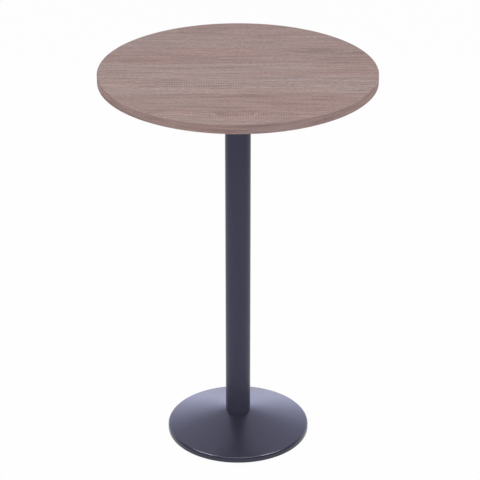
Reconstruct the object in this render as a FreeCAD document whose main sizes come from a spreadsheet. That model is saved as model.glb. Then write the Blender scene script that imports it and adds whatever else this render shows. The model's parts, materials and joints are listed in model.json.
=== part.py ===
# Round pub table: a laminated board on a steel column, with a weighted cone base on four levelling feet.
# Lengths are in millimetres, +Z is up, and the origin is on the floor under the column's centre.
import FreeCAD, Part
import os
import re

import Sketcher

OUT_FOLDER = "parts"
FOOT_COUNT = 4
RIB_COUNT = 4
ARM_COUNT = 4
SCREWS_PER_ARM = 2
SPIDER_SCREW_COUNT = 4
FULL_TURN = 360.0
HALF_STEP_SHARE = 0.5
AXIS_POINT = "0"

# Driving dimensions: alias, value in millimetres, meaning.
SIZES = [
    ("table_height", 1105, "floor to the face of the top"),
    ("top_diameter", 750, "outside of the edge band"),
    ("top_thickness", 25, "board with both laminates"),
    ("laminate_thickness", 0.8, "decor sheet and balance sheet"),
    ("edge_band_thickness", 2, "moulded strip round the board"),
    ("edge_band_round", 1.5, "rounding of the strip's two corners"),
    ("glue_line", 0.1, "between the board and the edge band"),
    ("column_diameter", 70, "outside of the tube"),
    ("column_wall", 2, "wall of the tube"),
    ("weld_gap", 0.1, "round a disc inside the tube"),
    ("top_disc_thickness", 8, "disc welded in the tube's top"),
    ("foot_disc_thickness", 6, "disc in the tube's foot"),
    ("base_diameter", 404, "outside of the base cover's rim"),
    ("rim_gap", 4, "floor to the rim's foot"),
    ("rim_height", 14.7, "rim's foot to its corner, before rounding"),
    ("rim_round", 6, "outer rounding of the rim's corner"),
    ("cover_thickness", 2, "sheet of the base cover"),
    ("seat_height", 60, "floor to the column's seat on the cover"),
    ("cover_bore", 16, "hole in the cover's seat"),
    ("ballast_inset", 26, "cover's rim in to the ballast's edge"),
    ("ballast_gap", 12, "floor to the ballast's underside"),
    ("ballast_thickness", 9, "plate of the ballast"),
    ("ballast_corner", 1.5, "chamfer round the ballast's lower edge"),
    ("hub_diameter", 60, "hub of the ballast under the seat"),
    ("hub_recess_diameter", 44, "recess for the nut and washers"),
    ("hub_recess_depth", 20, "recess for the nut and washers"),
    ("rib_thickness", 8, "web of the ballast"),
    ("rib_top_drop", 8, "hub's face down to the rib's top"),
    ("rib_end_inset", 10, "rib's end in from the plate's edge"),
    ("rib_end_height", 1, "rib's end above the plate"),
    ("rod_diameter", 12, "tie rod through the column"),
    ("rod_clearance", 0.25, "radial, where the rod passes freely"),
    ("thread_clearance", 0.05, "radial, in a tapped hole"),
    ("rod_top_inset", 2, "rod's end below the top disc's face"),
    ("rod_tail", 2, "rod's end past the nut"),
    ("washer_diameter", 36, "flat washer"),
    ("washer_thickness", 3, "flat washer"),
    ("spring_washer_diameter", 21, "split spring washer"),
    ("spring_washer_thickness", 3, "split spring washer"),
    ("spring_washer_gap", 1.5, "split of the spring washer"),
    ("nut_across_corners", 21.9, "hexagon of the tie rod nut"),
    ("nut_height", 10, "tie rod nut"),
    ("spider_span", 320, "end to end of two opposite arms"),
    ("arm_width", 50, "arm of the spider"),
    ("arm_round", 12, "corner of an arm's end"),
    ("spider_thickness", 5, "plate of the spider"),
    ("outer_screw_inset", 18, "outer screw in from an arm's end"),
    ("screw_pitch", 70, "outer to inner screw along an arm"),
    ("screw_diameter", 4.5, "wood screw shank"),
    ("screw_length", 22, "wood screw with its head and point"),
    ("screw_point", 5, "length of the wood screw's point"),
    ("screw_head_diameter", 9, "wood screw head"),
    ("screw_head_height", 2.5, "wood screw head"),
    ("screw_clearance", 0.1, "radial, round a screw and its head"),
    ("recess_length", 5, "cross recess in a screw head"),
    ("recess_width", 1.1, "cross recess in a screw head"),
    ("recess_depth", 1.6, "cross recess in a screw head"),
    ("spider_screw_diameter", 6, "countersunk machine screw"),
    ("spider_screw_length", 12, "countersunk machine screw"),
    ("spider_screw_head_diameter", 11, "countersunk machine screw"),
    ("spider_screw_head_height", 3, "countersunk machine screw"),
    ("spider_screw_circle", 44, "circle of the machine screws"),
    ("foot_inset", 48, "cover's rim in to the centre of a levelling foot"),
    ("pad_diameter", 36, "pad of a foot"),
    ("pad_height", 7, "pad of a foot"),
    ("pad_edge_height", 3.5, "pad's upright edge"),
    ("pad_chamfer", 1, "pad's lower edge"),
    ("pad_neck_diameter", 20, "pad's top face"),
    ("pad_floor", 2.5, "pad under the stud's pin"),
    ("pin_diameter", 8, "stud's pin in the pad"),
    ("pin_clearance", 0.08, "radial, round the stud's pin"),
    ("foot_play", 0.3, "axial, under the pin, the collar and the ballast"),
    ("stud_diameter", 10, "threaded shank of a foot"),
    ("stud_reach", 12.5, "shank above the ballast's underside"),
    ("collar_across_corners", 17, "hexagon of a stud"),
    ("cut_overrun", 1, "how far a cutter passes the face it cuts"),
]
ALIASES = {alias for alias, _, _ in SIZES}

# Heights that several pieces share, written in the driving dimensions.
TOP_UNDERSIDE = "(table_height - top_thickness)"
COLUMN_TOP = f"({TOP_UNDERSIDE} - spider_thickness)"
BOARD_RADIUS = "(top_diameter / 2 - edge_band_thickness - glue_line)"
BORE_RADIUS = "(column_diameter / 2 - column_wall)"
DISC_RADIUS = f"({BORE_RADIUS} - weld_gap)"
HUB_FACE = "(seat_height - cover_thickness)"
RECESS_TOP = "(ballast_gap + hub_recess_depth)"
ROD_PASS_RADIUS = "(rod_diameter / 2 + rod_clearance)"
ROD_TAP_RADIUS = "(rod_diameter / 2 + thread_clearance)"
WASHER_FOOT = f"({RECESS_TOP} - washer_thickness)"
SPRING_WASHER_FOOT = f"({WASHER_FOOT} - spring_washer_thickness)"
NUT_FOOT = f"({SPRING_WASHER_FOOT} - nut_height)"
ROD_FOOT = f"({NUT_FOOT} - rod_tail)"
BALLAST_RADIUS = "(base_diameter / 2 - ballast_inset)"
FOOT_RADIUS = "(base_diameter / 2 - foot_inset)"
PLATE_TOP = "(ballast_gap + ballast_thickness)"
COLLAR_FOOT = "(pad_height + foot_play)"
COLLAR_TOP = "(ballast_gap - foot_play)"

doc = FreeCAD.newDocument("pub_table")
sheet = doc.addObject("Spreadsheet::Sheet", "sizes")
for row, (alias, value, meaning) in enumerate(SIZES, 1):
    sheet.set(f"A{row}", meaning)
    sheet.set(f"B{row}", str(value))
    sheet.setAlias(f"B{row}", alias)
doc.recompute()


def rule(text):
    # Turns a rule in plain size names into an expression on the sheet's cells.
    return re.sub(r"[a-z_]+", lambda m: "sizes." + m[0] if m[0] in ALIASES else m[0], text)


def bind(piece, **rules):
    for name, text in rules.items():
        piece.setExpression(name, rule(text))
    return piece


def place(piece, x="0", y="0", z="0"):
    for letter, text in zip("xyz", (x, y, z)):
        piece.setExpression(f"Placement.Base.{letter}", rule(text))
    return piece


def cylinder(name, radius, height, x="0", y="0", z="0"):
    piece = doc.addObject("Part::Cylinder", name)
    return place(bind(piece, Radius=radius, Height=height), x, y, z)


def cone(name, low_radius, high_radius, height, x="0", y="0", z="0"):
    piece = doc.addObject("Part::Cone", name)
    return place(bind(piece, Radius1=low_radius, Radius2=high_radius, Height=height), x, y, z)


def hexagon(name, across_corners, height, x="0", y="0", z="0"):
    piece = doc.addObject("Part::Prism", name)
    piece.Polygon = 6
    return place(bind(piece, Circumradius=f"{across_corners} / 2", Height=height), x, y, z)


def block(name, length, width, height, x="0", y="0", z="0"):
    # A box centred on x and y, standing on z.
    piece = doc.addObject("Part::Box", name)
    bind(piece, Length=length, Width=width, Height=height)
    return place(piece, f"{x} - ({length}) / 2", f"{y} - ({width}) / 2", z)


def fuse(name, pieces):
    joined = doc.addObject("Part::MultiFuse", name)
    joined.Shapes = pieces
    joined.Refine = True
    return joined


def cut(name, base, tools):
    result = doc.addObject("Part::Cut", name)
    result.Base = base
    result.Tool = tools[0] if len(tools) == 1 else fuse(name + "_tools", tools)
    return result


def group(name, pieces):
    several = doc.addObject("Part::Compound", name)
    several.Links = pieces
    return several


def polar(radius, angle):
    # Rules for the x and y of a place at an angle in degrees on a circle of that radius.
    return f"({radius}) * cos({angle})", f"({radius}) * sin({angle})"


def angles(count, offset_share=0.0):
    step = FULL_TURN / count
    return [(i + offset_share) * step for i in range(count)]


def origin_plane(body, role):
    return next(feature for feature in body.Origin.OriginFeatures if feature.Role == role)


def outline(body, name, points, role="XZ_Plane"):
    # A closed polygon whose corners are held by rules for their distance from the origin.
    sketch = body.newObject("Sketcher::SketchObject", name)
    sketch.AttachmentSupport = [(origin_plane(body, role), "")]
    sketch.MapMode = "FlatFace"
    count = len(points)
    start = [FreeCAD.Vector(index + 1.0, (index + 1.0) ** 2, 0) for index in range(count)]
    for index in range(count):
        sketch.addGeometry(Part.LineSegment(start[index], start[(index + 1) % count]))
    for index in range(count):
        sketch.addConstraint(Sketcher.Constraint("Coincident", index, 2, (index + 1) % count, 1))
    for index, corner in enumerate(points):
        for kind, text, axis in zip(("DistanceX", "DistanceY"), corner, (-2, -1)):
            if text == AXIS_POINT:
                sketch.addConstraint(Sketcher.Constraint("PointOnObject", index, 1, axis))
                continue
            coordinate = start[index].x if kind == "DistanceX" else start[index].y
            number = sketch.addConstraint(Sketcher.Constraint(kind, -1, 1, index, 1, coordinate))
            sketch.setExpression(f"Constraints[{number}]", rule(text))
    doc.recompute()
    return sketch


def turned(label, points):
    # A body turned about the Z axis from an outline of (radius, height) corners.
    body = doc.addObject("PartDesign::Body", label)
    turn = body.newObject("PartDesign::Revolution", label + "_turn")
    turn.Profile = outline(body, label + "_outline", points)
    turn.ReferenceAxis = (turn.Profile[0], ["V_Axis"])
    turn.Angle = FULL_TURN
    body.Tip = turn
    doc.recompute()
    return body


def rims(body, choose):
    # Names of the body's round edges that a rule on (radius, height) chooses.
    edges = body.Tip.Shape.Edges
    found = []
    for number, edge in enumerate(edges, 1):
        if isinstance(edge.Curve, Part.Circle) and choose(edge.Curve.Radius, edge.Curve.Center.z):
            found.append(f"Edge{number}")
    return found


def dress(body, kind, names, **rules):
    feature = body.newObject(f"PartDesign::{kind}", f"{body.Label}_{kind.lower()}")
    feature.Base = (body.Tip if body.Tip != feature else feature.BaseFeature, names)
    bind(feature, **rules)
    body.Tip = feature
    doc.recompute()
    return feature


def screw_places():
    # Each wood screw's place: two along every arm of the spider.
    found = []
    for angle in angles(ARM_COUNT):
        for index in range(SCREWS_PER_ARM):
            radius = f"spider_span / 2 - outer_screw_inset - {index} * screw_pitch"
            found.append(polar(radius, angle))
    return found


def spider_screw_places():
    return [polar("spider_screw_circle / 2", a) for a in angles(SPIDER_SCREW_COUNT, HALF_STEP_SHARE)]


def foot_places():
    return [polar(FOOT_RADIUS, a) for a in angles(FOOT_COUNT, HALF_STEP_SHARE)]


def screw_holes(name, foot, height):
    # Pilot holes that the wood screws fill, from a height upwards.
    radius = "screw_diameter / 2 + screw_clearance"
    return [
        cylinder(f"{name}_{i}", radius, height, x, y, foot)
        for i, (x, y) in enumerate(screw_places(), 1)
    ]


def edge_band():
    outer, inner = "top_diameter / 2", "top_diameter / 2 - edge_band_thickness"
    body = turned("edge_band", [
        (inner, TOP_UNDERSIDE),
        (outer, TOP_UNDERSIDE),
        (outer, "table_height"),
        (inner, "table_height"),
    ])
    widest = max(e.Curve.Radius for e in body.Tip.Shape.Edges if isinstance(e.Curve, Part.Circle))
    corners = rims(body, lambda radius, height: radius == widest)
    dress(body, "Fillet", corners, Radius="edge_band_round")
    return body


def top_laminate():
    foot = "table_height - laminate_thickness"
    return cylinder("top_laminate", BOARD_RADIUS, "laminate_thickness", z=foot)


def underside_laminate():
    sheet_disc = cylinder("balance_disc", BOARD_RADIUS, "laminate_thickness", z=TOP_UNDERSIDE)
    depth = "laminate_thickness + 2 * cut_overrun"
    holes = screw_holes("balance_hole", f"{TOP_UNDERSIDE} - cut_overrun", depth)
    return cut("underside_laminate", sheet_disc, holes)


def tabletop_core():
    foot = f"{TOP_UNDERSIDE} + laminate_thickness"
    board = cylinder("board_disc", BOARD_RADIUS, "top_thickness - 2 * laminate_thickness", z=foot)
    depth = "screw_length - spider_thickness + 2 * cut_overrun"
    holes = screw_holes("pilot_hole", f"{TOP_UNDERSIDE} - cut_overrun", depth)
    return cut("tabletop_core", board, holes)


def countersink(name, x, y, face, sense, radius, head_radius, head_height):
    # A clearance hole through the spider and the cone of its countersink, which opens at a face.
    depth = "spider_thickness + 2 * cut_overrun"
    hole = cylinder(name, radius, depth, x, y, f"{COLUMN_TOP} - cut_overrun")
    if sense == "down":
        return [hole, cone(name + "_seat", head_radius, radius, head_height, x, y, face)]
    foot = f"{face} - ({head_height})"
    return [hole, cone(name + "_seat", radius, head_radius, head_height, x, y, foot)]


def mounting_spider():
    span, width = "spider_span", "arm_width"
    arms = [
        block("arm_x", span, width, "spider_thickness", z=COLUMN_TOP),
        block("arm_y", width, span, "spider_thickness", z=COLUMN_TOP),
    ]
    rounded = []
    for arm in arms:
        doc.recompute()
        corner = doc.addObject("Part::Fillet", arm.Name + "_rounded")
        corner.Base = arm
        edges = enumerate(arm.Shape.Edges, 1)
        upright = [number for number, edge in edges if edge.tangentAt(0).z != 0]
        radius = sheet.arm_round
        corner.Edges = [(i, radius, radius) for i in upright]
        rounded.append(corner)
    holes = []
    wood_radius = "screw_diameter / 2 + screw_clearance"
    wood_head = "screw_head_diameter / 2 + screw_clearance"
    for i, (x, y) in enumerate(screw_places(), 1):
        holes += countersink(
            f"wood_screw_hole_{i}", x, y, COLUMN_TOP, "down",
            wood_radius, wood_head, "screw_head_height + screw_clearance",
        )
    steel_radius = "spider_screw_diameter / 2 + screw_clearance"
    steel_head = "spider_screw_head_diameter / 2 + screw_clearance"
    for i, (x, y) in enumerate(spider_screw_places(), 1):
        holes += countersink(
            f"machine_screw_hole_{i}", x, y, TOP_UNDERSIDE, "up",
            steel_radius, steel_head, "spider_screw_head_height + screw_clearance",
        )
    return cut("mounting_spider", fuse("spider_cross", rounded), holes)


def cross_recess(name, x, y, foot):
    return [
        block(name + "_a", "recess_length", "recess_width", "recess_depth", x, y, foot),
        block(name + "_b", "recess_width", "recess_length", "recess_depth", x, y, foot),
    ]


def tabletop_screws():
    # Countersunk wood screws that point up, with their heads flush in the spider's underside.
    screws = []
    for i, (x, y) in enumerate(screw_places(), 1):
        name = f"wood_screw_{i}"
        shank, head = "screw_diameter / 2", "screw_head_diameter / 2"
        neck = f"{COLUMN_TOP} + screw_head_height"
        straight = "screw_length - screw_head_height - screw_point"
        solid = fuse(name + "_blank", [
            cone(name + "_head", head, shank, "screw_head_height", x, y, COLUMN_TOP),
            cylinder(name + "_shank", shank, straight, x, y, neck),
            cone(name + "_point", shank, "0", "screw_point", x, y, f"{neck} + {straight}"),
        ])
        screws.append(cut(name, solid, cross_recess(name + "_recess", x, y, COLUMN_TOP)))
    return group("tabletop_screws", screws)


def spider_screws():
    # Countersunk machine screws that point down into the column's top disc.
    screws = []
    for i, (x, y) in enumerate(spider_screw_places(), 1):
        name = f"machine_screw_{i}"
        shank, head = "spider_screw_diameter / 2", "spider_screw_head_diameter / 2"
        head_foot = f"{TOP_UNDERSIDE} - spider_screw_head_height"
        length = "spider_screw_length - spider_screw_head_height"
        solid = fuse(name + "_blank", [
            cone(name + "_head", shank, head, "spider_screw_head_height", x, y, head_foot),
            cylinder(name + "_shank", shank, length, x, y, f"{head_foot} - ({length})"),
        ])
        recess = cross_recess(name + "_recess", x, y, f"{TOP_UNDERSIDE} - recess_depth")
        screws.append(cut(name, solid, recess))
    return group("spider_screws", screws)


def column_tube():
    outer = "column_diameter / 2"
    return turned("column_tube", [
        (BORE_RADIUS, "seat_height"),
        (outer, "seat_height"),
        (outer, COLUMN_TOP),
        (BORE_RADIUS, COLUMN_TOP),
    ])


def column_top_disc():
    foot = f"{COLUMN_TOP} - top_disc_thickness"
    disc = cylinder("top_disc_blank", DISC_RADIUS, "top_disc_thickness", z=foot)
    depth = "top_disc_thickness + 2 * cut_overrun"
    holes = [cylinder("top_disc_bore", ROD_TAP_RADIUS, depth, z=f"{foot} - cut_overrun")]
    tap = "spider_screw_diameter / 2 + thread_clearance"
    for i, (x, y) in enumerate(spider_screw_places(), 1):
        holes.append(cylinder(f"top_disc_tap_{i}", tap, depth, x, y, f"{foot} - cut_overrun"))
    return cut("column_top_disc", disc, holes)


def column_foot_disc():
    return turned("column_foot_disc", [
        (ROD_PASS_RADIUS, "seat_height"),
        (DISC_RADIUS, "seat_height"),
        (DISC_RADIUS, "seat_height + foot_disc_thickness"),
        (ROD_PASS_RADIUS, "seat_height + foot_disc_thickness"),
    ])


def tie_rod():
    length = f"{COLUMN_TOP} - rod_top_inset - {ROD_FOOT}"
    return cylinder("tie_rod", "rod_diameter / 2", length, z=ROD_FOOT)


def base_cover():
    # Spun sheet: an upright rim, a round corner, a cone and the flat seat under the column.
    seat, rim = "column_diameter / 2", "base_diameter / 2"
    corner = "rim_gap + rim_height"
    bore = "cover_bore / 2"
    # the inner cone keeps the sheet's thickness, measured straight down
    body = turned("base_cover", [
        (rim, "rim_gap"),
        (rim, corner),
        (seat, "seat_height"),
        (bore, "seat_height"),
        (bore, HUB_FACE),
        (seat, HUB_FACE),
        (f"{rim} - cover_thickness", f"{corner} - cover_thickness"),
        (f"{rim} - cover_thickness", "rim_gap"),
    ])
    circles = [e.Curve for e in body.Tip.Shape.Edges if isinstance(e.Curve, Part.Circle)]
    widest = max(c.Radius for c in circles)
    rim_top = max(c.Center.z for c in circles if c.Radius == widest)
    second = max(c.Radius for c in circles if c.Radius < widest)
    inner_top = max(c.Center.z for c in circles if c.Radius == second)
    outer_corner = rims(body, lambda radius, height: radius == widest and height == rim_top)
    dress(body, "Fillet", outer_corner, Radius="rim_round")
    inner_corner = rims(body, lambda radius, height: radius == second and height == inner_top)
    inner = body.newObject("PartDesign::Fillet", "base_cover_inner_fillet")
    inner.Base = (inner.BaseFeature, inner_corner)
    bind(inner, Radius="rim_round - cover_thickness")
    body.Tip = inner
    doc.recompute()
    return body


def ballast_casting():
    rim, hub = BALLAST_RADIUS, "hub_diameter / 2"
    recess = "hub_recess_diameter / 2"
    body = turned("ballast_blank", [
        (ROD_PASS_RADIUS, RECESS_TOP),
        (recess, RECESS_TOP),
        (recess, "ballast_gap"),
        (f"{rim} - ballast_corner", "ballast_gap"),
        (rim, "ballast_gap + ballast_corner"),
        (rim, PLATE_TOP),
        (hub, PLATE_TOP),
        (hub, HUB_FACE),
        (ROD_PASS_RADIUS, HUB_FACE),
    ])
    # webs from the hub down to the plate, each rooted in both
    root = "(rib_thickness / 2)"
    web = outline(body, "rib_outline", [
        (f"{hub} - {root}", f"{PLATE_TOP} - {root}"),
        (f"{rim} - rib_end_inset", f"{PLATE_TOP} - {root}"),
        (f"{rim} - rib_end_inset", f"{PLATE_TOP} + rib_end_height"),
        (hub, f"{HUB_FACE} - rib_top_drop"),
        (f"{hub} - {root}", f"{HUB_FACE} - rib_top_drop"),
    ])
    rib = body.newObject("PartDesign::Pad", "rib")
    rib.Profile = web
    rib.Midplane = True
    bind(rib, Length="rib_thickness")
    doc.recompute()
    ribs = body.newObject("PartDesign::PolarPattern", "ribs")
    ribs.Originals = [rib]
    ribs.Axis = (web, ["V_Axis"])
    ribs.Angle = FULL_TURN
    ribs.Occurrences = RIB_COUNT
    body.Tip = ribs
    doc.recompute()
    tap = "stud_diameter / 2 + thread_clearance"
    depth = "ballast_thickness + 2 * cut_overrun"
    holes = [
        cylinder(f"foot_tap_{i}", tap, depth, x, y, "ballast_gap - cut_overrun")
        for i, (x, y) in enumerate(foot_places(), 1)
    ]
    return cut("ballast_casting", body, holes)


def tie_rod_washer():
    return turned("tie_rod_washer", [
        (ROD_PASS_RADIUS, WASHER_FOOT),
        ("washer_diameter / 2", WASHER_FOOT),
        ("washer_diameter / 2", RECESS_TOP),
        (ROD_PASS_RADIUS, RECESS_TOP),
    ])


def tie_rod_spring_washer():
    ring = turned("spring_washer_ring", [
        (ROD_PASS_RADIUS, SPRING_WASHER_FOOT),
        ("spring_washer_diameter / 2", SPRING_WASHER_FOOT),
        ("spring_washer_diameter / 2", WASHER_FOOT),
        (ROD_PASS_RADIUS, WASHER_FOOT),
    ])
    depth = "spring_washer_thickness + 2 * cut_overrun"
    split = block(
        "spring_washer_split", "spring_washer_diameter / 2", "spring_washer_gap", depth,
        x="spring_washer_diameter / 4 + cut_overrun", z=f"{SPRING_WASHER_FOOT} - cut_overrun",
    )
    return cut("tie_rod_spring_washer", ring, [split])


def tie_rod_nut():
    blank = hexagon("nut_blank", "nut_across_corners", "nut_height", z=NUT_FOOT)
    depth = "nut_height + 2 * cut_overrun"
    bore = cylinder("nut_bore", ROD_TAP_RADIUS, depth, z=f"{NUT_FOOT} - cut_overrun")
    return cut("tie_rod_nut", blank, [bore])


def foot_pad(number, x, y):
    pin = "pin_diameter / 2 + pin_clearance"
    pad = turned(f"foot_pad_{number}", [
        (AXIS_POINT, AXIS_POINT),
        ("pad_diameter / 2 - pad_chamfer", AXIS_POINT),
        ("pad_diameter / 2", "pad_chamfer"),
        ("pad_diameter / 2", "pad_edge_height"),
        ("pad_neck_diameter / 2", "pad_height"),
        (pin, "pad_height"),
        (pin, "pad_floor"),
        (AXIS_POINT, "pad_floor"),
    ])
    return place(pad, x, y)


def foot_stud(number, x, y):
    # A pin that turns in the pad, a hexagon collar and a threaded shank.
    name = f"foot_stud_{number}"
    pin_foot = "(pad_floor + foot_play)"
    pin_length = f"{COLLAR_FOOT} - {pin_foot}"
    collar_height = f"{COLLAR_TOP} - {COLLAR_FOOT}"
    shank_length = f"stud_reach + ballast_gap - {COLLAR_TOP}"
    return fuse(name, [
        cylinder(name + "_pin", "pin_diameter / 2", pin_length, x, y, pin_foot),
        hexagon(name + "_collar", "collar_across_corners", collar_height, x, y, COLLAR_FOOT),
        cylinder(name + "_shank", "stud_diameter / 2", shank_length, x, y, COLLAR_TOP),
    ])


def build():
    pieces = [
        edge_band(), top_laminate(), underside_laminate(), tabletop_core(),
        mounting_spider(), tabletop_screws(), spider_screws(),
        column_tube(), column_top_disc(), column_foot_disc(), tie_rod(),
        base_cover(), ballast_casting(), tie_rod_washer(), tie_rod_spring_washer(), tie_rod_nut(),
    ]
    for number, (x, y) in enumerate(foot_places(), 1):
        pieces.append(foot_pad(number, x, y))
        pieces.append(foot_stud(number, x, y))
    doc.recompute()
    return pieces


def check(pieces):
    for item in doc.Objects:
        if {"Invalid", "Error"} & set(item.State):
            raise RuntimeError(f"{item.Label} did not recompute: {item.State}")
    for piece in pieces:
        shape = piece.Shape
        if shape.isNull() or not shape.isValid() or not shape.Solids:
            raise RuntimeError(f"{piece.Label} has no valid solid")
        print(f"{piece.Label}: {len(shape.Solids)} solid(s), {shape.Volume:.1f} mm3")


def write(pieces):
    os.makedirs(OUT_FOLDER, exist_ok=True)
    for piece in pieces:
        piece.Shape.exportStep(os.path.join(OUT_FOLDER, f"{piece.Label}.step"))


def main():
    pieces = build()
    check(pieces)
    write(pieces)


main()
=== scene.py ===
import json
import math

import bpy
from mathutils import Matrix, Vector


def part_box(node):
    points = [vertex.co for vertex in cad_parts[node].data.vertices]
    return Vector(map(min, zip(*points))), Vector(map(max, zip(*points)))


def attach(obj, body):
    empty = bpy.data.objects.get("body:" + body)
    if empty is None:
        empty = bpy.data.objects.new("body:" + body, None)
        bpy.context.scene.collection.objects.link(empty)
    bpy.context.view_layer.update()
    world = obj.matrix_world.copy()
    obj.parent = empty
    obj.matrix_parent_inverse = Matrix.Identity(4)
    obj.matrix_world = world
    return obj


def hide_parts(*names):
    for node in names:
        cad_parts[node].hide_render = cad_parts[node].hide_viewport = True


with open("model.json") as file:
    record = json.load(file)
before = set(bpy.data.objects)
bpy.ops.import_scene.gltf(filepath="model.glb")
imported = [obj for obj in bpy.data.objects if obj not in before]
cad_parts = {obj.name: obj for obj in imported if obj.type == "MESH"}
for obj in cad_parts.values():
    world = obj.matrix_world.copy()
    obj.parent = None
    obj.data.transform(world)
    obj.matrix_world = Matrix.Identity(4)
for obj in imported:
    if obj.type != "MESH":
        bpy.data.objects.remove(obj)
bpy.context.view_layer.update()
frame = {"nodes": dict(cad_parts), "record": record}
nodes = frame["nodes"]
scene = bpy.context.scene
print("frame loaded:", len(nodes), "nodes")


# small helpers for building node trees

def setSockets(tree, node, inputs):
    # a value is a plain one, or another node's output to link
    for key, value in inputs.items():
        socket = node.inputs[key]
        if isinstance(value, bpy.types.NodeSocket):
            tree.links.new(value, socket)
        else:
            socket.default_value = value


def addNode(tree, kind, inputs=None, **settings):
    node = tree.nodes.new(kind)
    for name, value in settings.items():
        setattr(node, name, value)
    setSockets(tree, node, inputs or {})
    return node


def calc(tree, operation, first, second=0.0, third=0.0):
    return addNode(tree, "ShaderNodeMath", {0: first, 1: second, 2: third}, operation=operation).outputs[0]


def vectorOf(tree, x, y, z):
    return addNode(tree, "ShaderNodeCombineXYZ", {"X": x, "Y": y, "Z": z}).outputs[0]


def noiseOf(tree, vector, scale, detail, roughness=0.5, distortion=0.0):
    node = addNode(tree, "ShaderNodeTexNoise", {
        "Vector": vector, "Scale": scale, "Detail": detail,
        "Roughness": roughness, "Distortion": distortion,
    })
    return node.outputs[0]


def rampOf(tree, value, low, high, smooth=True):
    # zero at low and one at high, which may also lie below low
    node = addNode(tree, "ShaderNodeMapRange", {
        "Value": value, "From Min": low, "From Max": high,
    }, interpolation_type="SMOOTHSTEP" if smooth else "LINEAR")
    return node.outputs[0]


def mixColor(tree, factor, first, second):
    # a Mix node's colour sockets are its inputs 6 and 7 and its output 2
    node = addNode(tree, "ShaderNodeMix", {0: factor, 6: first, 7: second}, data_type="RGBA")
    return node.outputs[2]


def rgb(color):
    return (*color, 1.0)


def shaderGroup(name, inputs, outputs):
    group = bpy.data.node_groups.new(name, "ShaderNodeTree")
    for label, kind in inputs.items():
        group.interface.new_socket(label, in_out="INPUT", socket_type=kind)
    for label, kind in outputs.items():
        group.interface.new_socket(label, in_out="OUTPUT", socket_type=kind)
    start = group.nodes.new("NodeGroupInput")
    end = group.nodes.new("NodeGroupOutput")
    return group, start, end


def newMaterial(name, sockets=None):
    material = bpy.data.materials.new(name)
    material.use_nodes = True
    tree = material.node_tree
    shader = tree.nodes["Principled BSDF"]
    setSockets(tree, shader, sockets or {})
    place = addNode(tree, "ShaderNodeTexCoord").outputs["Object"]
    return material, tree, shader, place


def dress(tree, shader, color, rough, height, bump, strength=1.0):
    # bump is the height of the relief in metres
    relief = addNode(tree, "ShaderNodeBump", {"Height": height, "Distance": bump, "Strength": strength})
    tree.links.new(color, shader.inputs["Base Color"])
    tree.links.new(rough, shader.inputs["Roughness"])
    tree.links.new(relief.outputs[0], shader.inputs["Normal"])


# shared surface effects: a noise is its scale, detail, roughness and distortion, as far as they are given,
# and a span is where it starts to show and where it shows in full

oakGrain = {
    "wobble": 0.0070,               # metres from side to side that the grain's line wanders
    "wanderRun": 1.7, "wanderCross": 4.0, "wanderNoise": (1.6, 2.0),
    "figures": [                    # x, y, reach along, reach across, lift: where the grain bends
        (-0.002, -0.318, 0.10, 0.020, 0.028),
        (0.215, 0.146, 0.075, 0.016, 0.013),
        (0.305, 0.150, 0.060, 0.015, -0.012),
        (-0.215, -0.238, 0.085, 0.016, 0.011),
    ],
    "plankWidth": 0.113,
    "plankShift": 0.0535,
    "plankOffset": 0.31,            # metres between the places that neighbouring planks are cut from
    "plankSeed": 16189.0,
    "seamShare": 0.022,
    "noises": {                     # scale along and across the run, detail, roughness
        "broad": (2.2, 12.0, 3.0, 0.55),
        "band": (2.6, 58.0, 4.0, 0.62),
        "streak": (7.5, 170.0, 4.0, 0.70),
        "fleck": (105.0, 240.0, 2.0, 0.60),
        "fibre": (24.0, 900.0, 2.0, 0.60),
        "patch": (2.6, 13.0, 2.0, 0.50),
        "jitter": (30.0, 30.0, 1.0, 0.50),
    },
    "warmSpan": (0.36, 0.66), "warmFromTone": 0.20,
    "bandSpan": (0.42, 0.74), "bandShade": 0.19,
    "streakSpan": (0.42, 0.72), "streakShade": 0.68,
    "fleckSpan": (0.40, 0.68), "fleckShade": 0.18, "fleckFigureShade": 0.26,
    "poreSpan": (0.55, 0.74), "poreShade": 0.45,
    "seamShade": 0.30, "toneShade": 0.25,
    "heartLine": (0.335, -0.053, 0.075, 0.0022), "heartShade": 0.75,
    "sawPitch": 0.0064, "sawJitter": 1.6, "patchSpan": (0.44, 0.64), "sawSpan": (0.35, 0.60),
    "sawShade": 0.60, "sawDepth": 0.5,
    "roughness": 0.50, "streakRoughness": 0.16,
}


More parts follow.
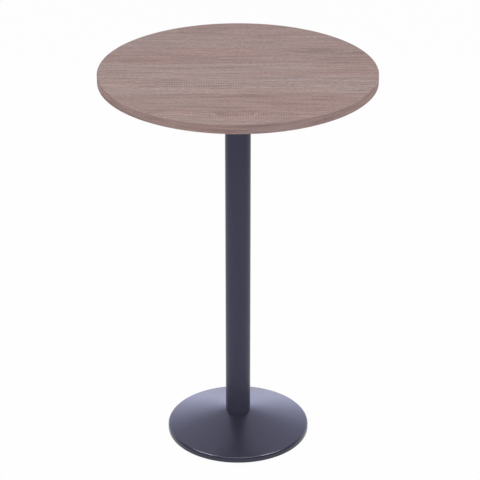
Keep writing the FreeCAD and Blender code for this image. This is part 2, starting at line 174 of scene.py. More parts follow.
def buildOakGrain(settings):
    tree, start, end = shaderGroup("oakGrain", {
        "Place": "NodeSocketVector", "Pale": "NodeSocketColor", "Warm": "NodeSocketColor",
        "Dark": "NodeSocketColor", "Figure": "NodeSocketFloat",
    }, {
        "Color": "NodeSocketColor", "Height": "NodeSocketFloat", "Roughness": "NodeSocketFloat",
    })
    along, across, third = addNode(tree, "ShaderNodeSeparateXYZ", {0: start.outputs["Place"]}).outputs
    figure = start.outputs["Figure"]

    def hill(crossLine, x, y, reachAlong, reachAcross):
        # a soft oval hump, one at its middle
        offX = calc(tree, "DIVIDE", calc(tree, "SUBTRACT", along, x), reachAlong)
        offY = calc(tree, "DIVIDE", calc(tree, "SUBTRACT", crossLine, y), reachAcross)
        spread = calc(tree, "MULTIPLY_ADD", offX, offX, calc(tree, "MULTIPLY", offY, offY))
        return calc(tree, "EXPONENT", calc(tree, "MULTIPLY", spread, -1.0))

    # the grain's line wanders, and bends round each figure
    slow = vectorOf(
        tree, calc(tree, "MULTIPLY", along, settings["wanderRun"]),
        calc(tree, "MULTIPLY", across, settings["wanderCross"]), third)
    wander = calc(tree, "SUBTRACT", noiseOf(tree, slow, *settings["wanderNoise"]), 0.5)
    bend = 0.0
    for *oval, lift in settings["figures"]:
        bend = calc(tree, "MULTIPLY_ADD", hill(across, *oval), lift, bend)
    bent = calc(tree, "MULTIPLY_ADD", wander, settings["wobble"], across)
    bent = calc(tree, "MULTIPLY_ADD", bend, figure, bent)

    # printed planks, each with its own tone and run of grain
    course = calc(tree, "DIVIDE", calc(tree, "ADD", across, settings["plankShift"]), settings["plankWidth"])
    plank = calc(tree, "FLOOR", course)
    seeded = calc(tree, "ADD", plank, settings["plankSeed"])
    tone = addNode(tree, "ShaderNodeTexWhiteNoise", {"W": seeded}, noise_dimensions="1D").outputs[0]
    fromMiddle = calc(tree, "ABSOLUTE", calc(tree, "SUBTRACT", calc(tree, "FRACT", course), 0.5))
    seam = rampOf(tree, fromMiddle, 0.5 - settings["seamShare"], 0.5)
    layer = calc(tree, "MULTIPLY_ADD", plank, settings["plankOffset"], third)

    def grainNoise(name):
        runScale, crossScale, detail, roughness = settings["noises"][name]
        stretched = vectorOf(
            tree, calc(tree, "MULTIPLY", along, runScale), calc(tree, "MULTIPLY", bent, crossScale),
            calc(tree, "MULTIPLY", layer, runScale))
        return noiseOf(tree, stretched, 1.0, detail, roughness)

    def darken(color, mask, amount):
        return mixColor(tree, calc(tree, "MULTIPLY", mask, amount), color, start.outputs["Dark"])

    # warm and grey areas, then bands, streaks, flecks and pores over them
    lean = calc(tree, "SUBTRACT", tone, 0.5)
    warmth = calc(tree, "MULTIPLY_ADD", lean, settings["warmFromTone"], grainNoise("broad"))
    warmth = rampOf(tree, warmth, *settings["warmSpan"])
    color = mixColor(tree, warmth, start.outputs["Pale"], start.outputs["Warm"])
    color = darken(color, rampOf(tree, grainNoise("band"), *settings["bandSpan"]), settings["bandShade"])
    streak = grainNoise("streak")
    color = darken(color, rampOf(tree, streak, *settings["streakSpan"]), settings["streakShade"])
    fleckShade = calc(tree, "MULTIPLY_ADD", figure, settings["fleckFigureShade"], settings["fleckShade"])
    color = darken(color, rampOf(tree, grainNoise("fleck"), *settings["fleckSpan"]), fleckShade)
    color = darken(color, seam, settings["seamShade"])
    color = darken(color, tone, settings["toneShade"])
    pore = rampOf(tree, grainNoise("fibre"), *settings["poreSpan"])
    color = darken(color, pore, settings["poreShade"])
    # one dark line of heartwood
    line = calc(tree, "MULTIPLY", hill(bent, *settings["heartLine"]), figure)
    color = darken(color, line, settings["heartShade"])
    # crosswise saw marks, in patches
    patch = rampOf(tree, grainNoise("patch"), *settings["patchSpan"])
    stroke = calc(tree, "MULTIPLY", along, math.tau / settings["sawPitch"])
    phase = calc(tree, "MULTIPLY_ADD", grainNoise("jitter"), settings["sawJitter"], stroke)
    ridge = calc(tree, "MULTIPLY_ADD", calc(tree, "SINE", phase), 0.5, 0.5)
    saw = calc(tree, "MULTIPLY", ridge, patch)
    saw = calc(tree, "MULTIPLY", saw, rampOf(tree, streak, *settings["sawSpan"]))
    saw = calc(tree, "MULTIPLY", saw, figure)
    color = darken(color, saw, settings["sawShade"])
    # pores and saw marks are pressed in
    height = calc(tree, "SUBTRACT", 1.0, calc(tree, "MULTIPLY_ADD", saw, settings["sawDepth"], pore))
    rough = calc(tree, "MULTIPLY_ADD", streak, settings["streakRoughness"], settings["roughness"])
    setSockets(tree, end, {"Color": color, "Height": height, "Roughness": rough})
    return tree


coatSkin = {
    "peel": (520.0, 2.0, 0.5), "grit": (2600.0, 1.0, 0.5), "gritHeight": 0.25,
    "cloud": (9.0, 3.0, 0.6), "cloudRoughness": 0.10,
    "scuff": (38.0, 5.0, 0.7), "scuffSpan": (0.60, 0.78), "scuffShade": 0.12, "scuffRoughness": 0.02,
}


def buildCoatSkin(settings):
    # the faint orange peel and fine grit of a baked powder coat
    tree, start, end = shaderGroup("coatSkin", {
        "Place": "NodeSocketVector", "Tint": "NodeSocketColor", "Rub": "NodeSocketColor",
        "Base Roughness": "NodeSocketFloat",
    }, {
        "Color": "NodeSocketColor", "Roughness": "NodeSocketFloat", "Height": "NodeSocketFloat",
    })
    place = start.outputs["Place"]
    scuff = rampOf(tree, noiseOf(tree, place, *settings["scuff"]), *settings["scuffSpan"])
    rubbed = calc(tree, "MULTIPLY", scuff, settings["scuffShade"])
    color = mixColor(tree, rubbed, start.outputs["Tint"], start.outputs["Rub"])
    cloud = calc(tree, "SUBTRACT", noiseOf(tree, place, *settings["cloud"]), 0.5)
    rough = calc(tree, "MULTIPLY_ADD", cloud, settings["cloudRoughness"], start.outputs["Base Roughness"])
    rough = calc(tree, "MULTIPLY_ADD", scuff, settings["scuffRoughness"], rough)
    peel = noiseOf(tree, place, *settings["peel"])
    grit = noiseOf(tree, place, *settings["grit"])
    height = calc(tree, "MULTIPLY_ADD", grit, settings["gritHeight"], peel)
    setSockets(tree, end, {"Color": color, "Roughness": rough, "Height": height})
    return tree


oakGroup = buildOakGrain(oakGrain)
coatGroup = buildCoatSkin(coatSkin)
print("surface effects ready")


# finishes

def dressOak(tree, shader, place, settings):
    setSockets(tree, shader, {"Specular IOR Level": settings["specular"]})
    grain = addNode(tree, "ShaderNodeGroup", {
        "Place": place, "Pale": rgb(settings["pale"]), "Warm": rgb(settings["warm"]),
        "Dark": rgb(settings["dark"]), "Figure": settings["figure"],
    }, node_tree=oakGroup).outputs
    dress(tree, shader, grain["Color"], grain["Roughness"], grain["Height"], settings["bump"])


def coatOn(tree, place, settings):
    return addNode(tree, "ShaderNodeGroup", {
        "Place": place, "Tint": rgb(settings["tint"]), "Rub": rgb(settings["rub"]),
        "Base Roughness": settings["roughness"],
    }, node_tree=coatGroup).outputs


laminateLook = {
    "pale": (0.321, 0.238, 0.206), "warm": (0.345, 0.225, 0.184), "dark": (0.132, 0.080, 0.066),
    "figure": 1.0, "specular": 0.13, "bump": 0.00012,
}


def makeLaminate(settings):
    material, tree, shader, place = newMaterial("sawnOakLaminate")
    dressOak(tree, shader, place, settings)
    return material


# the strip carries the top's print; its colours are set lighter than the top's as painted light on its
# sideways faces
edgeLitLook = {
    "pale": (0.352, 0.255, 0.242), "warm": (0.368, 0.246, 0.217), "dark": (0.157, 0.098, 0.088),
    "figure": 0.0, "specular": 0.08, "bump": 0.00010,
}


def makeEdgeStrip(settings):
    # the strip's grain runs round the board, so height takes the place of the across direction
    material, tree, shader, place = newMaterial("sawnOakEdgeLit")
    x, y, z = addNode(tree, "ShaderNodeSeparateXYZ", {0: place}).outputs
    dressOak(tree, shader, vectorOf(tree, x, z, y), settings)
    return material


coatLook = {
    "tint": (0.0250, 0.0243, 0.0425), "rub": (0.034, 0.034, 0.056), "roughness": 0.24,
    "specular": 0.50, "specularTint": (0.86, 0.86, 1.0), "bump": 0.000035,
}
columnLitLook = {                      # the tube's coat is less glossy than the cover's, and its colour is set lighter as painted light
    "tint": (0.0460, 0.0450, 0.0745), "rub": (0.058, 0.059, 0.090), "roughness": 0.36,
    "specular": 0.20, "specularTint": (0.86, 0.86, 1.0), "bump": 0.000035,
}
plasticLook = {
    "tint": (0.018, 0.018, 0.019), "rub": (0.05, 0.05, 0.05), "roughness": 0.55,
    "specular": 0.50, "specularTint": (1.0, 1.0, 1.0), "bump": 0.00006,
}


def makeCoat(name, settings):
    material, tree, shader, place = newMaterial(name, {
        "Specular IOR Level": settings["specular"], "Specular Tint": rgb(settings["specularTint"]),
    })
    skin = coatOn(tree, place, settings)
    dress(tree, shader, skin["Color"], skin["Roughness"], skin["Height"], settings["bump"])
    return material


ironLook = {
    "tint": (0.035, 0.036, 0.038), "rub": (0.085, 0.070, 0.058), "roughness": 0.62,
    "pits": (170.0, 4.0, 0.65), "bump": 0.0005, "bumpStrength": 0.7,
}


def makeIron(settings):
    material, tree, shader, place = newMaterial("primedCasting")
    skin = coatOn(tree, place, settings)
    pits = noiseOf(tree, place, *settings["pits"])
    dress(tree, shader, skin["Color"], skin["Roughness"], pits, settings["bump"], settings["bumpStrength"])
    return material


metalSkin = {
    "spangle": (240.0, 3.0, 0.6, 0.4), "spangleSpan": (0.40, 0.66),
    "brushStretch": (900.0, 900.0, 60.0), "brush": (1.0, 2.0), "brushRoughness": 0.18, "bump": 0.00002,
}
zincLook = {"bright": (0.62, 0.63, 0.65), "dull": (0.47, 0.47, 0.46), "roughness": 0.27, **metalSkin}
steelLook = {"bright": (0.46, 0.46, 0.47), "dull": (0.32, 0.30, 0.28), "roughness": 0.40, **metalSkin}


def makeMetal(name, settings):
    material, tree, shader, place = newMaterial(name, {"Metallic": 1.0})
    spangle = rampOf(tree, noiseOf(tree, place, *settings["spangle"]), *settings["spangleSpan"])
    color = mixColor(tree, spangle, rgb(settings["bright"]), rgb(settings["dull"]))
    stretched = addNode(tree, "ShaderNodeMapping", {"Vector": place, "Scale": settings["brushStretch"]})
    brush = noiseOf(tree, stretched.outputs[0], *settings["brush"])
    rough = calc(tree, "MULTIPLY_ADD", brush, settings["brushRoughness"], settings["roughness"])
    dress(tree, shader, color, rough, brush, settings["bump"])
    return material


fleckSkin = {
    "cloud": (14.0, 4.0, 0.6), "cloudSpan": (0.3, 0.7), "cloudShade": 0.3, "cloudRoughness": 0.12,
    "fleckSpan": (0.30, 0.05), "fleckShade": 0.40, "bump": 0.00008,
}
balanceLook = {
    "base": (0.255, 0.222, 0.190), "fleck": (0.17, 0.145, 0.12), "roughness": 0.62,
    "fleckScale": 420.0, "stretch": (0.25, 1.0, 1.0), **fleckSkin,
}
boardLook = {
    "base": (0.47, 0.34, 0.20), "fleck": (0.26, 0.17, 0.09), "roughness": 0.8,
    "fleckScale": 260.0, "stretch": (0.6, 1.0, 1.4), **fleckSkin,
}


def makeFlecked(name, settings):
    # pressed paper and chips: pale ground, darker flecks, all a little uneven
    material, tree, shader, place = newMaterial(name)
    base, dark = rgb(settings["base"]), rgb(settings["fleck"])
    stretched = addNode(tree, "ShaderNodeMapping", {"Vector": place, "Scale": settings["stretch"]})
    chips = addNode(tree, "ShaderNodeTexVoronoi", {
        "Vector": stretched.outputs[0], "Scale": settings["fleckScale"]}).outputs["Distance"]
    cloud = noiseOf(tree, place, *settings["cloud"])
    uneven = calc(tree, "MULTIPLY", rampOf(tree, cloud, *settings["cloudSpan"]), settings["cloudShade"])
    fleck = calc(tree, "MULTIPLY", rampOf(tree, chips, *settings["fleckSpan"]), settings["fleckShade"])
    color = mixColor(tree, fleck, mixColor(tree, uneven, base, dark), dark)
    smoothest = settings["roughness"] - settings["cloudRoughness"] / 2.0
    rough = calc(tree, "MULTIPLY_ADD", cloud, settings["cloudRoughness"], smoothest)
    dress(tree, shader, color, rough, chips, settings["bump"])
    return material


finishes = {
    "decor_laminate": makeLaminate(laminateLook),
    "edge_strip": makeEdgeStrip(edgeLitLook),
    "balance_laminate": makeFlecked("balanceSheet", balanceLook),
    "particle_board": makeFlecked("particleBoard", boardLook),
    "black_coat": makeCoat("blackPowderCoat", coatLook),
    "plain_steel": makeMetal("plainSteel", steelLook),
    "primed_iron": makeIron(ironLook),
    "zinc_steel": makeMetal("zincPlate", zincLook),
    "pad_plastic": makeCoat("padNylon", plasticLook),
}
# a lighter copy of the black coat for the tube, its extra lightness being painted light
columnLitCoat = makeCoat("columnPowderCoatLit", columnLitLook)
slotOf = {row["node"]: row["material_slot"] for row in frame["record"]["subparts"]}
for name, node in nodes.items():
    node.data.materials.clear()
    node.data.materials.append(finishes[slotOf[name]])
print("finishes ready:", len(finishes) + 1)


# turned pieces: an outline of radius and height, rounded at its corners and swept round an upright axis

hexHalf = math.pi / 6.0             # half the angle of one side of a hexagon
turning = {"weld": 1e-6, "sharpAngle": 34.0}    # metres and degrees


def buildTurnedTree(settings):
    tree = bpy.data.node_groups.new("turnedPiece", "GeometryNodeTree")
    face = tree.interface
    face.new_socket("Outline", in_out="INPUT", socket_type="NodeSocketGeometry")
    face.new_socket("Steps Round", in_out="INPUT", socket_type="NodeSocketInt")
    face.new_socket("Corner Steps", in_out="INPUT", socket_type="NodeSocketInt")
    face.new_socket("Centre", in_out="INPUT", socket_type="NodeSocketVector")
    for label in ("Across Flats", "Thread Pitch", "Thread Depth", "Thread Foot", "Thread Head"):
        face.new_socket(label, in_out="INPUT", socket_type="NodeSocketFloat")
    face.new_socket("Finish", in_out="INPUT", socket_type="NodeSocketMaterial")
    face.new_socket("Piece", in_out="OUTPUT", socket_type="NodeSocketGeometry")
    start = tree.nodes.new("NodeGroupInput")
    end = tree.nodes.new("NodeGroupOutput")
    corner = addNode(tree, "GeometryNodeInputRadius").outputs[0]
    rounded = addNode(tree, "GeometryNodeFilletCurve", {
        "Curve": start.outputs["Outline"], "Radius": corner, "Count": start.outputs["Corner Steps"],
        "Limit Radius": True}, mode="POLY")
    # a grid with one row for each point of the outline, rolled round the axis
    count = addNode(tree, "GeometryNodeAttributeDomainSize", {0: rounded.outputs[0]}, component="CURVE")
    rows = calc(tree, "ADD", count.outputs["Point Count"], 1.0)
    columns = calc(tree, "ADD", start.outputs["Steps Round"], 1.0)
    grid = addNode(tree, "GeometryNodeMeshGrid", {"Vertices X": rows, "Vertices Y": columns})
    index = addNode(tree, "GeometryNodeInputIndex").outputs[0]
    row = calc(tree, "FLOOR", calc(tree, "DIVIDE", calc(tree, "ADD", index, 0.5), columns))
    column = calc(tree, "SUBTRACT", index, calc(tree, "MULTIPLY", row, columns))
    wrapped = calc(tree, "FLOORED_MODULO", row, count.outputs["Point Count"])
    spot = addNode(tree, "GeometryNodeSampleIndex", {
        "Geometry": rounded.outputs[0], "Value": addNode(tree, "GeometryNodeInputPosition").outputs[0],
        "Index": wrapped}, data_type="FLOAT_VECTOR", domain="POINT")
    profile = addNode(tree, "ShaderNodeSeparateXYZ", {0: spot.outputs[0]})
    angle = calc(tree, "MULTIPLY", calc(tree, "DIVIDE", column, start.outputs["Steps Round"]), math.tau)
    radius, height = profile.outputs[0], profile.outputs[1]
    # six flats, with a corner at angle zero
    fromFlat = calc(tree, "SUBTRACT", calc(tree, "FLOORED_MODULO", angle, 2.0 * hexHalf), hexHalf)
    halfFlats = calc(tree, "MULTIPLY", start.outputs["Across Flats"], 0.5)
    radius = calc(tree, "MINIMUM", radius, calc(tree, "DIVIDE", halfFlats, calc(tree, "COSINE", fromFlat)))
    # a right-hand thread, cut as a triangle wave that climbs one pitch a turn
    climb = calc(tree, "SUBTRACT", calc(tree, "DIVIDE", height, start.outputs["Thread Pitch"]),
                 calc(tree, "DIVIDE", angle, math.tau))
    wave = calc(tree, "ABSOLUTE", calc(tree, "MULTIPLY_ADD", calc(tree, "FRACT", climb), 2.0, -1.0))
    threaded = calc(tree, "MULTIPLY", calc(tree, "GREATER_THAN", height, start.outputs["Thread Foot"]),
                    calc(tree, "LESS_THAN", height, start.outputs["Thread Head"]))
    groove = calc(tree, "MULTIPLY", calc(tree, "MULTIPLY", wave, threaded), start.outputs["Thread Depth"])
    radius = calc(tree, "SUBTRACT", radius, groove)
    place = vectorOf(
        tree, calc(tree, "MULTIPLY", radius, calc(tree, "COSINE", angle)),
        calc(tree, "MULTIPLY", radius, calc(tree, "SINE", angle)), height)
    centred = addNode(tree, "ShaderNodeVectorMath", {0: place, 1: start.outputs["Centre"]}, operation="ADD")
    swept = addNode(tree, "GeometryNodeSetPosition", {
        "Geometry": grid.outputs[0], "Position": centred.outputs[0]})
    closed = addNode(tree, "GeometryNodeMergeByDistance", {
        "Geometry": swept.outputs[0], "Distance": settings["weld"]})
    smooth = addNode(tree, "GeometryNodeSetShadeSmooth", {
        "Geometry": closed.outputs[0], "Shade Smooth": True})
    bend = addNode(tree, "GeometryNodeInputMeshEdgeAngle").outputs[0]
    sharp = calc(tree, "GREATER_THAN", bend, math.radians(settings["sharpAngle"]))
    crisp = addNode(tree, "GeometryNodeSetShadeSmooth", {
        "Geometry": smooth.outputs[0], "Selection": sharp, "Shade Smooth": False}, domain="EDGE")
    real = addNode(tree, "GeometryNodeRealizeInstances", {0: crisp.outputs[0]})
    done = addNode(tree, "GeometryNodeSetMaterial", {
        "Geometry": real.outputs[0], "Material": start.outputs["Finish"]})
    tree.links.new(done.outputs[0], end.inputs[0])
    return tree


turnedTree = buildTurnedTree(turning)


def plainMesh(name, carrier):
    # the evaluated result as a plain mesh object at the origin
    depsgraph = bpy.context.evaluated_depsgraph_get()
    mesh = bpy.data.meshes.new_from_object(carrier.evaluated_get(depsgraph))
    mesh.name = name
    piece = bpy.data.objects.new(name, mesh)
    scene.collection.objects.link(piece)
    bpy.data.objects.remove(carrier)
    return piece


def runTree(name, carrier, tree, values):
    modifier = carrier.modifiers.new("make", "NODES")
    modifier.node_group = tree
    sockets = {s.name: s.identifier for s in tree.interface.items_tree if s.in_out == "INPUT"}
    for key, value in values.items():
        modifier[sockets[key]] = value
    bpy.context.view_layer.update()
    return plainMesh(name, carrier)


def outlineCurve(name, corners):
    # corners are (radius, height, rounding), in metres, with the metal on the left of the run
    data = bpy.data.curves.new(name, "CURVE")
    data.dimensions = "3D"
    spline = data.splines.new("POLY")
    spline.points.add(len(corners) - 1)
    spline.use_cyclic_u = True
    for point, (radius, height, rounding) in zip(spline.points, corners):
        point.co = (radius, height, 0.0, 1.0)
        point.radius = rounding
    carrier = bpy.data.objects.new(name, data)
    scene.collection.objects.link(carrier)
    return carrier


noFlats = 10.0                      # a width across flats that limits nothing
noThread = {"pitch": 0.001, "depth": 0.0, "foot": 0.0, "head": 0.0}


def turnedPiece(name, node, body, corners, settings, centre=(0.0, 0.0, 0.0),
                acrossFlats=noFlats, thread=noThread, finish=None):
    values = {
        "Steps Round": settings["steps"], "Corner Steps": settings["cornerSteps"], "Centre": centre,
        "Across Flats": acrossFlats, "Thread Pitch": thread["pitch"], "Thread Depth": thread["depth"],
        "Thread Foot": thread["foot"], "Thread Head": thread["head"],
        "Finish": finish or finishes[slotOf[node]],
    }
    piece = runTree(name, outlineCurve(name + "Outline", corners), turnedTree, values)
    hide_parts(node)
    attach(piece, body)


def radiusOf(node):
    low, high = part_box(node)
    return (high.x - low.x) / 2.0


def centreOf(node):
    low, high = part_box(node)
    return ((low.x + high.x) / 2.0, (low.y + high.y) / 2.0, 0.0)


edgeBand = {"thickness": 0.0020, "rounding": 0.0015, "innerRounding": 0.0002, "steps": 288, "cornerSteps": 5}


def makeEdgeBand(settings):
    low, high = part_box("edge_band")
    outer = radiusOf("edge_band")
    inner = outer - settings["thickness"]
    fine, soft = settings["innerRounding"], settings["rounding"]
    corners = [(inner, low.z, fine), (outer, low.z, soft), (outer, high.z, soft), (inner, high.z, fine)]
    turnedPiece("edgeStrip", "edge_band", "table", corners, settings)


columnTube = {"wall": 0.0020, "endRounding": 0.0006, "steps": 160, "cornerSteps": 4}


def makeColumn(settings):
    low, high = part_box("column_tube")
    outer = radiusOf("column_tube")
    inner = outer - settings["wall"]
    soft = settings["endRounding"]
    corners = [(inner, low.z, soft), (outer, low.z, soft), (outer, high.z, soft), (inner, high.z, soft)]
    turnedPiece("columnTube", "column_tube", "table", corners, settings, finish=columnLitCoat)


baseCover = {
    "sheet": 0.0020, "rimHeight": 0.0147, "rimRounding": 0.0060, "hemRounding": 0.0006,
    "seatRounding": 0.0008, "bore": 0.0080, "steps": 288, "cornerSteps": 8,
}


def makeBaseCover(settings):
    low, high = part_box("base_cover")
    rim, sheet = radiusOf("base_cover"), settings["sheet"]
    seat = radiusOf("column_tube")
    corner = low.z + settings["rimHeight"]
    hem, soft = settings["hemRounding"], settings["seatRounding"]
    corners = [
        (rim - sheet, low.z, hem), (rim, low.z, hem),
        (rim, corner, settings["rimRounding"]), (seat, high.z, soft),
        (settings["bore"], high.z, 0.0), (settings["bore"], high.z - sheet, 0.0),
        (seat, high.z - sheet, soft), (rim - sheet, corner - sheet, settings["rimRounding"] - sheet),
    ]
    turnedPiece("baseCover", "base_cover", "table", corners, settings)


footNumbers = range(1, 5)
footPad = {
    "chamfer": 0.0010, "edgeHeight": 0.0035, "neck": 0.0100, "pin": 0.00408, "floor": 0.0025,
    "rounding": 0.0008, "chamferRounding": 0.0003, "pinRounding": 0.0002, "steps": 72, "cornerSteps": 3,
}


def makeFootPads(settings):
    for number in footNumbers:
        node = f"foot_pad_{number}"
        low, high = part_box(node)
        outer, soft, fine = radiusOf(node), settings["rounding"], settings["chamferRounding"]
        corners = [
            (0.0, low.z, 0.0), (outer - settings["chamfer"], low.z, fine),
            (outer, low.z + settings["chamfer"], fine), (outer, low.z + settings["edgeHeight"], soft),
            (settings["neck"], high.z, soft), (settings["pin"], high.z, settings["pinRounding"]),
            (settings["pin"], low.z + settings["floor"], 0.0), (0.0, low.z + settings["floor"], 0.0),
        ]
        turnedPiece(f"footPad{number}", node, f"foot_{number}", corners, settings, centreOf(node))


cornerCut = math.radians(30.0)      # the angle at which a hexagon's corners are turned off


def hexagonSide(corner, low, high, steps=4):
    # a hexagon's upright side, with its corners turned off at both ends
    flat = corner * math.cos(hexHalf)
    rise = (corner - flat) * math.tan(cornerCut)
    rows = []
    for step in range(steps + 1):
        share = step / steps
        rows.append((flat + (corner - flat) * share, low + rise * share, 0.0))
    return rows + [(radius, low + high - height, 0.0) for radius, height, _ in reversed(rows)]


def threadRows(radius, low, high, pitch, rowsPerTurn=8):
    count = round((high - low) / pitch * rowsPerTurn)
    return [(radius, low + (high - low) * step / count, 0.0) for step in range(count + 1)]


footStud = {
    "pin": 0.0040, "shank": 0.0050, "play": 0.0003, "ease": 0.0005,
    "pitch": 0.0015, "depth": 0.0009, "steps": 48, "cornerSteps": 1,
}


def makeFootStuds(settings):
    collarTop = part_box("ballast_casting")[0].z - settings["play"]
    for number in footNumbers:
        node = f"foot_stud_{number}"
        low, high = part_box(node)
        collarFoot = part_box(f"foot_pad_{number}")[1].z + settings["play"]
        corner, pin, shank = radiusOf(node), settings["pin"], settings["shank"]
        threadHead = high.z - settings["ease"]
        corners = [
            (0.0, low.z, 0.0), (pin - settings["ease"], low.z, 0.0), (pin, low.z + settings["ease"], 0.0),
            (pin, collarFoot, 0.0), *hexagonSide(corner, collarFoot, collarTop),
            *threadRows(shank, collarTop, threadHead, settings["pitch"]),
            (shank - settings["depth"], high.z, 0.0), (0.0, high.z, 0.0),
        ]
        thread = {
            "pitch": settings["pitch"], "depth": settings["depth"], "foot": collarTop, "head": high.z,
        }
        turnedPiece(
            f"footStud{number}", node, f"stud_{number}", corners, settings, centreOf(node),
            2.0 * corner * math.cos(hexHalf), thread)


tieRod = {
    "threadLength": 0.045, "pitch": 0.00175, "depth": 0.00107, "ease": 0.0010, "nutBore": 0.00605,
    "steps": 48, "cornerSteps": 1,
}


def makeTieRod(settings):
    low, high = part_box("tie_rod")
    outer, root = radiusOf("tie_rod"), radiusOf("tie_rod") - settings["depth"]
    threadHead = low.z + settings["threadLength"]
    corners = [
        (0.0, low.z, 0.0), (root, low.z, 0.0),
        *threadRows(outer, low.z + settings["ease"], threadHead, settings["pitch"]),
        (outer, high.z - settings["ease"], 0.0), (root, high.z, 0.0), (0.0, high.z, 0.0),
    ]
    thread = {"pitch": settings["pitch"], "depth": settings["depth"], "foot": low.z, "head": threadHead}
    turnedPiece("tieRod", "tie_rod", "table", corners, settings, thread=thread)
    # the hexagon nut below it
    low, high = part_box("tie_rod_nut")
    corner, bore = radiusOf("tie_rod_nut"), settings["nutBore"]
    corners = [(bore, low.z, 0.0), *hexagonSide(corner, low.z, high.z), (bore, high.z, 0.0)]
    turnedPiece(
        "tieRodNut", "tie_rod_nut", "table", corners, settings,
        acrossFlats=2.0 * corner * math.cos(hexHalf))


makeEdgeBand(edgeBand)
makeColumn(columnTube)
makeBaseCover(baseCover)
makeFootPads(footPad)
makeFootStuds(footStud)
makeTieRod(tieRod)
print("turned pieces ready")


# floor, surroundings, lamps and camera

studio = {                          # spans are on a direction's height and its turn to the back, -1 to 1
    "floorSize": 40.0, "floorColor": (0.82, 0.82, 0.82), "floorGlow": 0.97,
    "white": (1.0, 1.0, 1.0), "skyLevel": 0.52,
    # the room beside and behind the camera, as gloss sees it
    "roomLevel": 0.12, "roomSide": (0.75, 0.30), "roomFoot": (0.0, 0.06), "roomHead": (0.93, 0.80),
    "ceilingColor": (0.78, 0.78, 1.0),
    # the lit backdrop behind the table, as gloss sees it
    "backdropLevel": 3.3, "backdropColor": (0.72, 0.75, 1.0), "backdropFade": 1.12,
    "backdropSpan": (0.8, 0.0), "backdropSide": (0.0, 0.5), "horizon": (-0.10, 0.0),
    "uprightGuard": 1.0001,         # keeps the division below safe straight up
}


def seenDirectly(tree):
    # one for rays from the camera and for reflected and refracted ones
    path = addNode(tree, "ShaderNodeLightPath")
    seen = calc(tree, "MAXIMUM", path.outputs["Is Camera Ray"], path.outputs["Is Glossy Ray"])
    return calc(tree, "MAXIMUM", seen, path.outputs["Is Transmission Ray"])


def makeFloor(settings):
    half = settings["floorSize"] / 2.0
    corners = [(-half, -half, 0.0), (half, -half, 0.0), (half, half, 0.0), (-half, half, 0.0)]
    mesh = bpy.data.meshes.new("floor")
    mesh.from_pydata(corners, [], [range(len(corners))])
    floor = bpy.data.objects.new("floor", mesh)
    scene.collection.objects.link(floor)
    material = bpy.data.materials.new("floorWhite")
    material.use_nodes = True
    tree = material.node_tree
    tree.nodes.clear()
    matt = addNode(tree, "ShaderNodeBsdfDiffuse", {"Color": rgb(settings["floorColor"])})
    glow = addNode(tree, "ShaderNodeEmission", {"Color": rgb(settings["white"]), "Strength": 1.0})
    share = calc(tree, "MULTIPLY", seenDirectly(tree), settings["floorGlow"])
    top = addNode(tree, "ShaderNodeMixShader", {0: share, 1: matt.outputs[0], 2: glow.outputs[0]})
    # seen from below, the floor is clear, so that the underside can be looked at
    clear = addNode(tree, "ShaderNodeBsdfTransparent")
    behind = addNode(tree, "ShaderNodeNewGeometry").outputs["Backfacing"]
    both = addNode(tree, "ShaderNodeMixShader", {0: behind, 1: top.outputs[0], 2: clear.outputs[0]})
    addNode(tree, "ShaderNodeOutputMaterial", {"Surface": both.outputs[0]})
    mesh.materials.append(material)


def makeSky(settings):
    world = bpy.data.worlds.new("studio")
    scene.world = world
    world.use_nodes = True
    tree = world.node_tree
    tree.nodes.clear()
    white = rgb(settings["white"])
    direction = addNode(tree, "ShaderNodeTexCoord").outputs["Generated"]
    _, back, up = addNode(tree, "ShaderNodeSeparateXYZ", {0: direction}).outputs
    glossy = addNode(tree, "ShaderNodeLightPath").outputs["Is Glossy Ray"]
    # gloss sees a darker room behind the camera and to both sides, between the floor and the lamps
    upSquared = calc(tree, "MULTIPLY", up, up)
    level = calc(tree, "SQRT", calc(tree, "SUBTRACT", settings["uprightGuard"], upSquared))
    room = rampOf(tree, calc(tree, "DIVIDE", back, level), *settings["roomSide"])
    room = calc(tree, "MULTIPLY", room, rampOf(tree, up, *settings["roomFoot"]))
    room = calc(tree, "MULTIPLY", room, rampOf(tree, up, *settings["roomHead"]))
    room = calc(tree, "MULTIPLY", room, glossy)
    strength = calc(tree, "MULTIPLY_ADD", room, settings["roomLevel"] - 1.0, 1.0)
    # and a lit backdrop low down behind the table
    upper = calc(tree, "MULTIPLY", rampOf(tree, up, *settings["horizon"]), glossy)
    lit = rampOf(tree, up, *settings["backdropSpan"], smooth=False)
    lit = calc(tree, "POWER", lit, settings["backdropFade"])
    lit = calc(tree, "MULTIPLY", lit, rampOf(tree, back, *settings["backdropSide"]))
    lit = calc(tree, "MULTIPLY", lit, upper)
    strength = calc(tree, "MULTIPLY_ADD", lit, settings["backdropLevel"] - 1.0, strength)
    cool = mixColor(tree, lit, rgb(settings["ceilingColor"]), rgb(settings["backdropColor"]))
    cool = mixColor(tree, upper, white, cool)
    seen = addNode(tree, "ShaderNodeBackground", {"Color": cool, "Strength": strength})
    soft = addNode(tree, "ShaderNodeBackground", {"Color": white, "Strength": settings["skyLevel"]})
    both = addNode(tree, "ShaderNodeMixShader", {
        0: seenDirectly(tree), 1: soft.outputs[0], 2: seen.outputs[0]})
    addNode(tree, "ShaderNodeOutputWorld", {"Surface": both.outputs[0]})


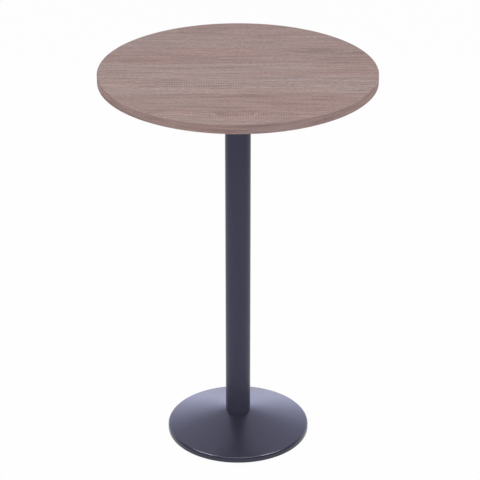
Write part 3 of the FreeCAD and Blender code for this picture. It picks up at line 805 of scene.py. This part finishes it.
lamps = [
    # name, place, aim, width, height, watts, colour, lights matt surfaces, shows in gloss
    ("leftSoftbox", (-1.7, -0.4, 3.2), (-0.3, -0.1, 0.8), 1.6, 2.4, 32.0, (1.0, 1.0, 1.0), True, True),
    ("rightSoftbox", (1.7, -0.4, 3.2), (0.3, -0.1, 0.8), 1.6, 2.4, 30.0, (1.0, 1.0, 1.0), True, True),
    ("overheadLight", (0.0, 2.3, 4.2), (0.0, 0.0, 0.6), 5.0, 3.0, 14.0, (0.88, 0.90, 1.0), True, True),
    ("frontFill", (0.0, -3.6, 1.35), (0.0, 0.0, 0.8), 3.0, 1.4, 33.0, (1.0, 1.0, 1.0), True, False),
    ("leftStrip", (-0.80, 0.15, 3.2), (0.0, 0.0, 0.0), 0.75, 1.9, 120.0, (1.0, 1.0, 1.0), False, True),
    ("rightStrip", (0.80, 0.15, 3.2), (0.0, 0.0, 0.0), 0.75, 1.9, 108.0, (1.0, 1.0, 1.0), False, True),
    ("frontStrip", (0.0, -1.15, 3.2), (0.0, 0.0, 0.0), 1.4, 0.9, 38.0, (1.0, 1.0, 1.0), False, True),
]


def makeLamps(rows):
    for name, place, aim, width, height, watts, color, onMatt, inGloss in rows:
        data = bpy.data.lights.new(name, "AREA")
        data.shape = "RECTANGLE"
        data.size = width
        data.size_y = height
        data.energy = watts
        data.color = color
        lamp = bpy.data.objects.new(name, data)
        scene.collection.objects.link(lamp)
        lamp.location = place
        lamp.visible_camera = False
        lamp.visible_diffuse = onMatt
        lamp.visible_glossy = inGloss
        lamp.rotation_euler = (Vector(aim) - Vector(place)).to_track_quat("-Z", "Y").to_euler()


cameraView = {                      # down and right are turns in degrees
    "lens": 145.49, "sensor": 36.0, "place": (0.0, -4.8357, 2.9665),
    "down": 26.0398, "right": 0.0665, "clipEnd": 100.0,
}


def makeCamera(settings):
    data = bpy.data.cameras.new("camera")
    data.lens = settings["lens"]
    data.sensor_width = settings["sensor"]
    data.clip_end = settings["clipEnd"]
    camera = bpy.data.objects.new("camera", data)
    scene.collection.objects.link(camera)
    camera.location = settings["place"]
    camera.rotation_euler = (math.radians(90.0 - settings["down"]), 0.0, math.radians(-settings["right"]))
    scene.camera = camera


makeFloor(studio)
makeSky(studio)
makeLamps(lamps)
makeCamera(cameraView)
scene.view_settings.view_transform = "Standard"
print("studio ready")
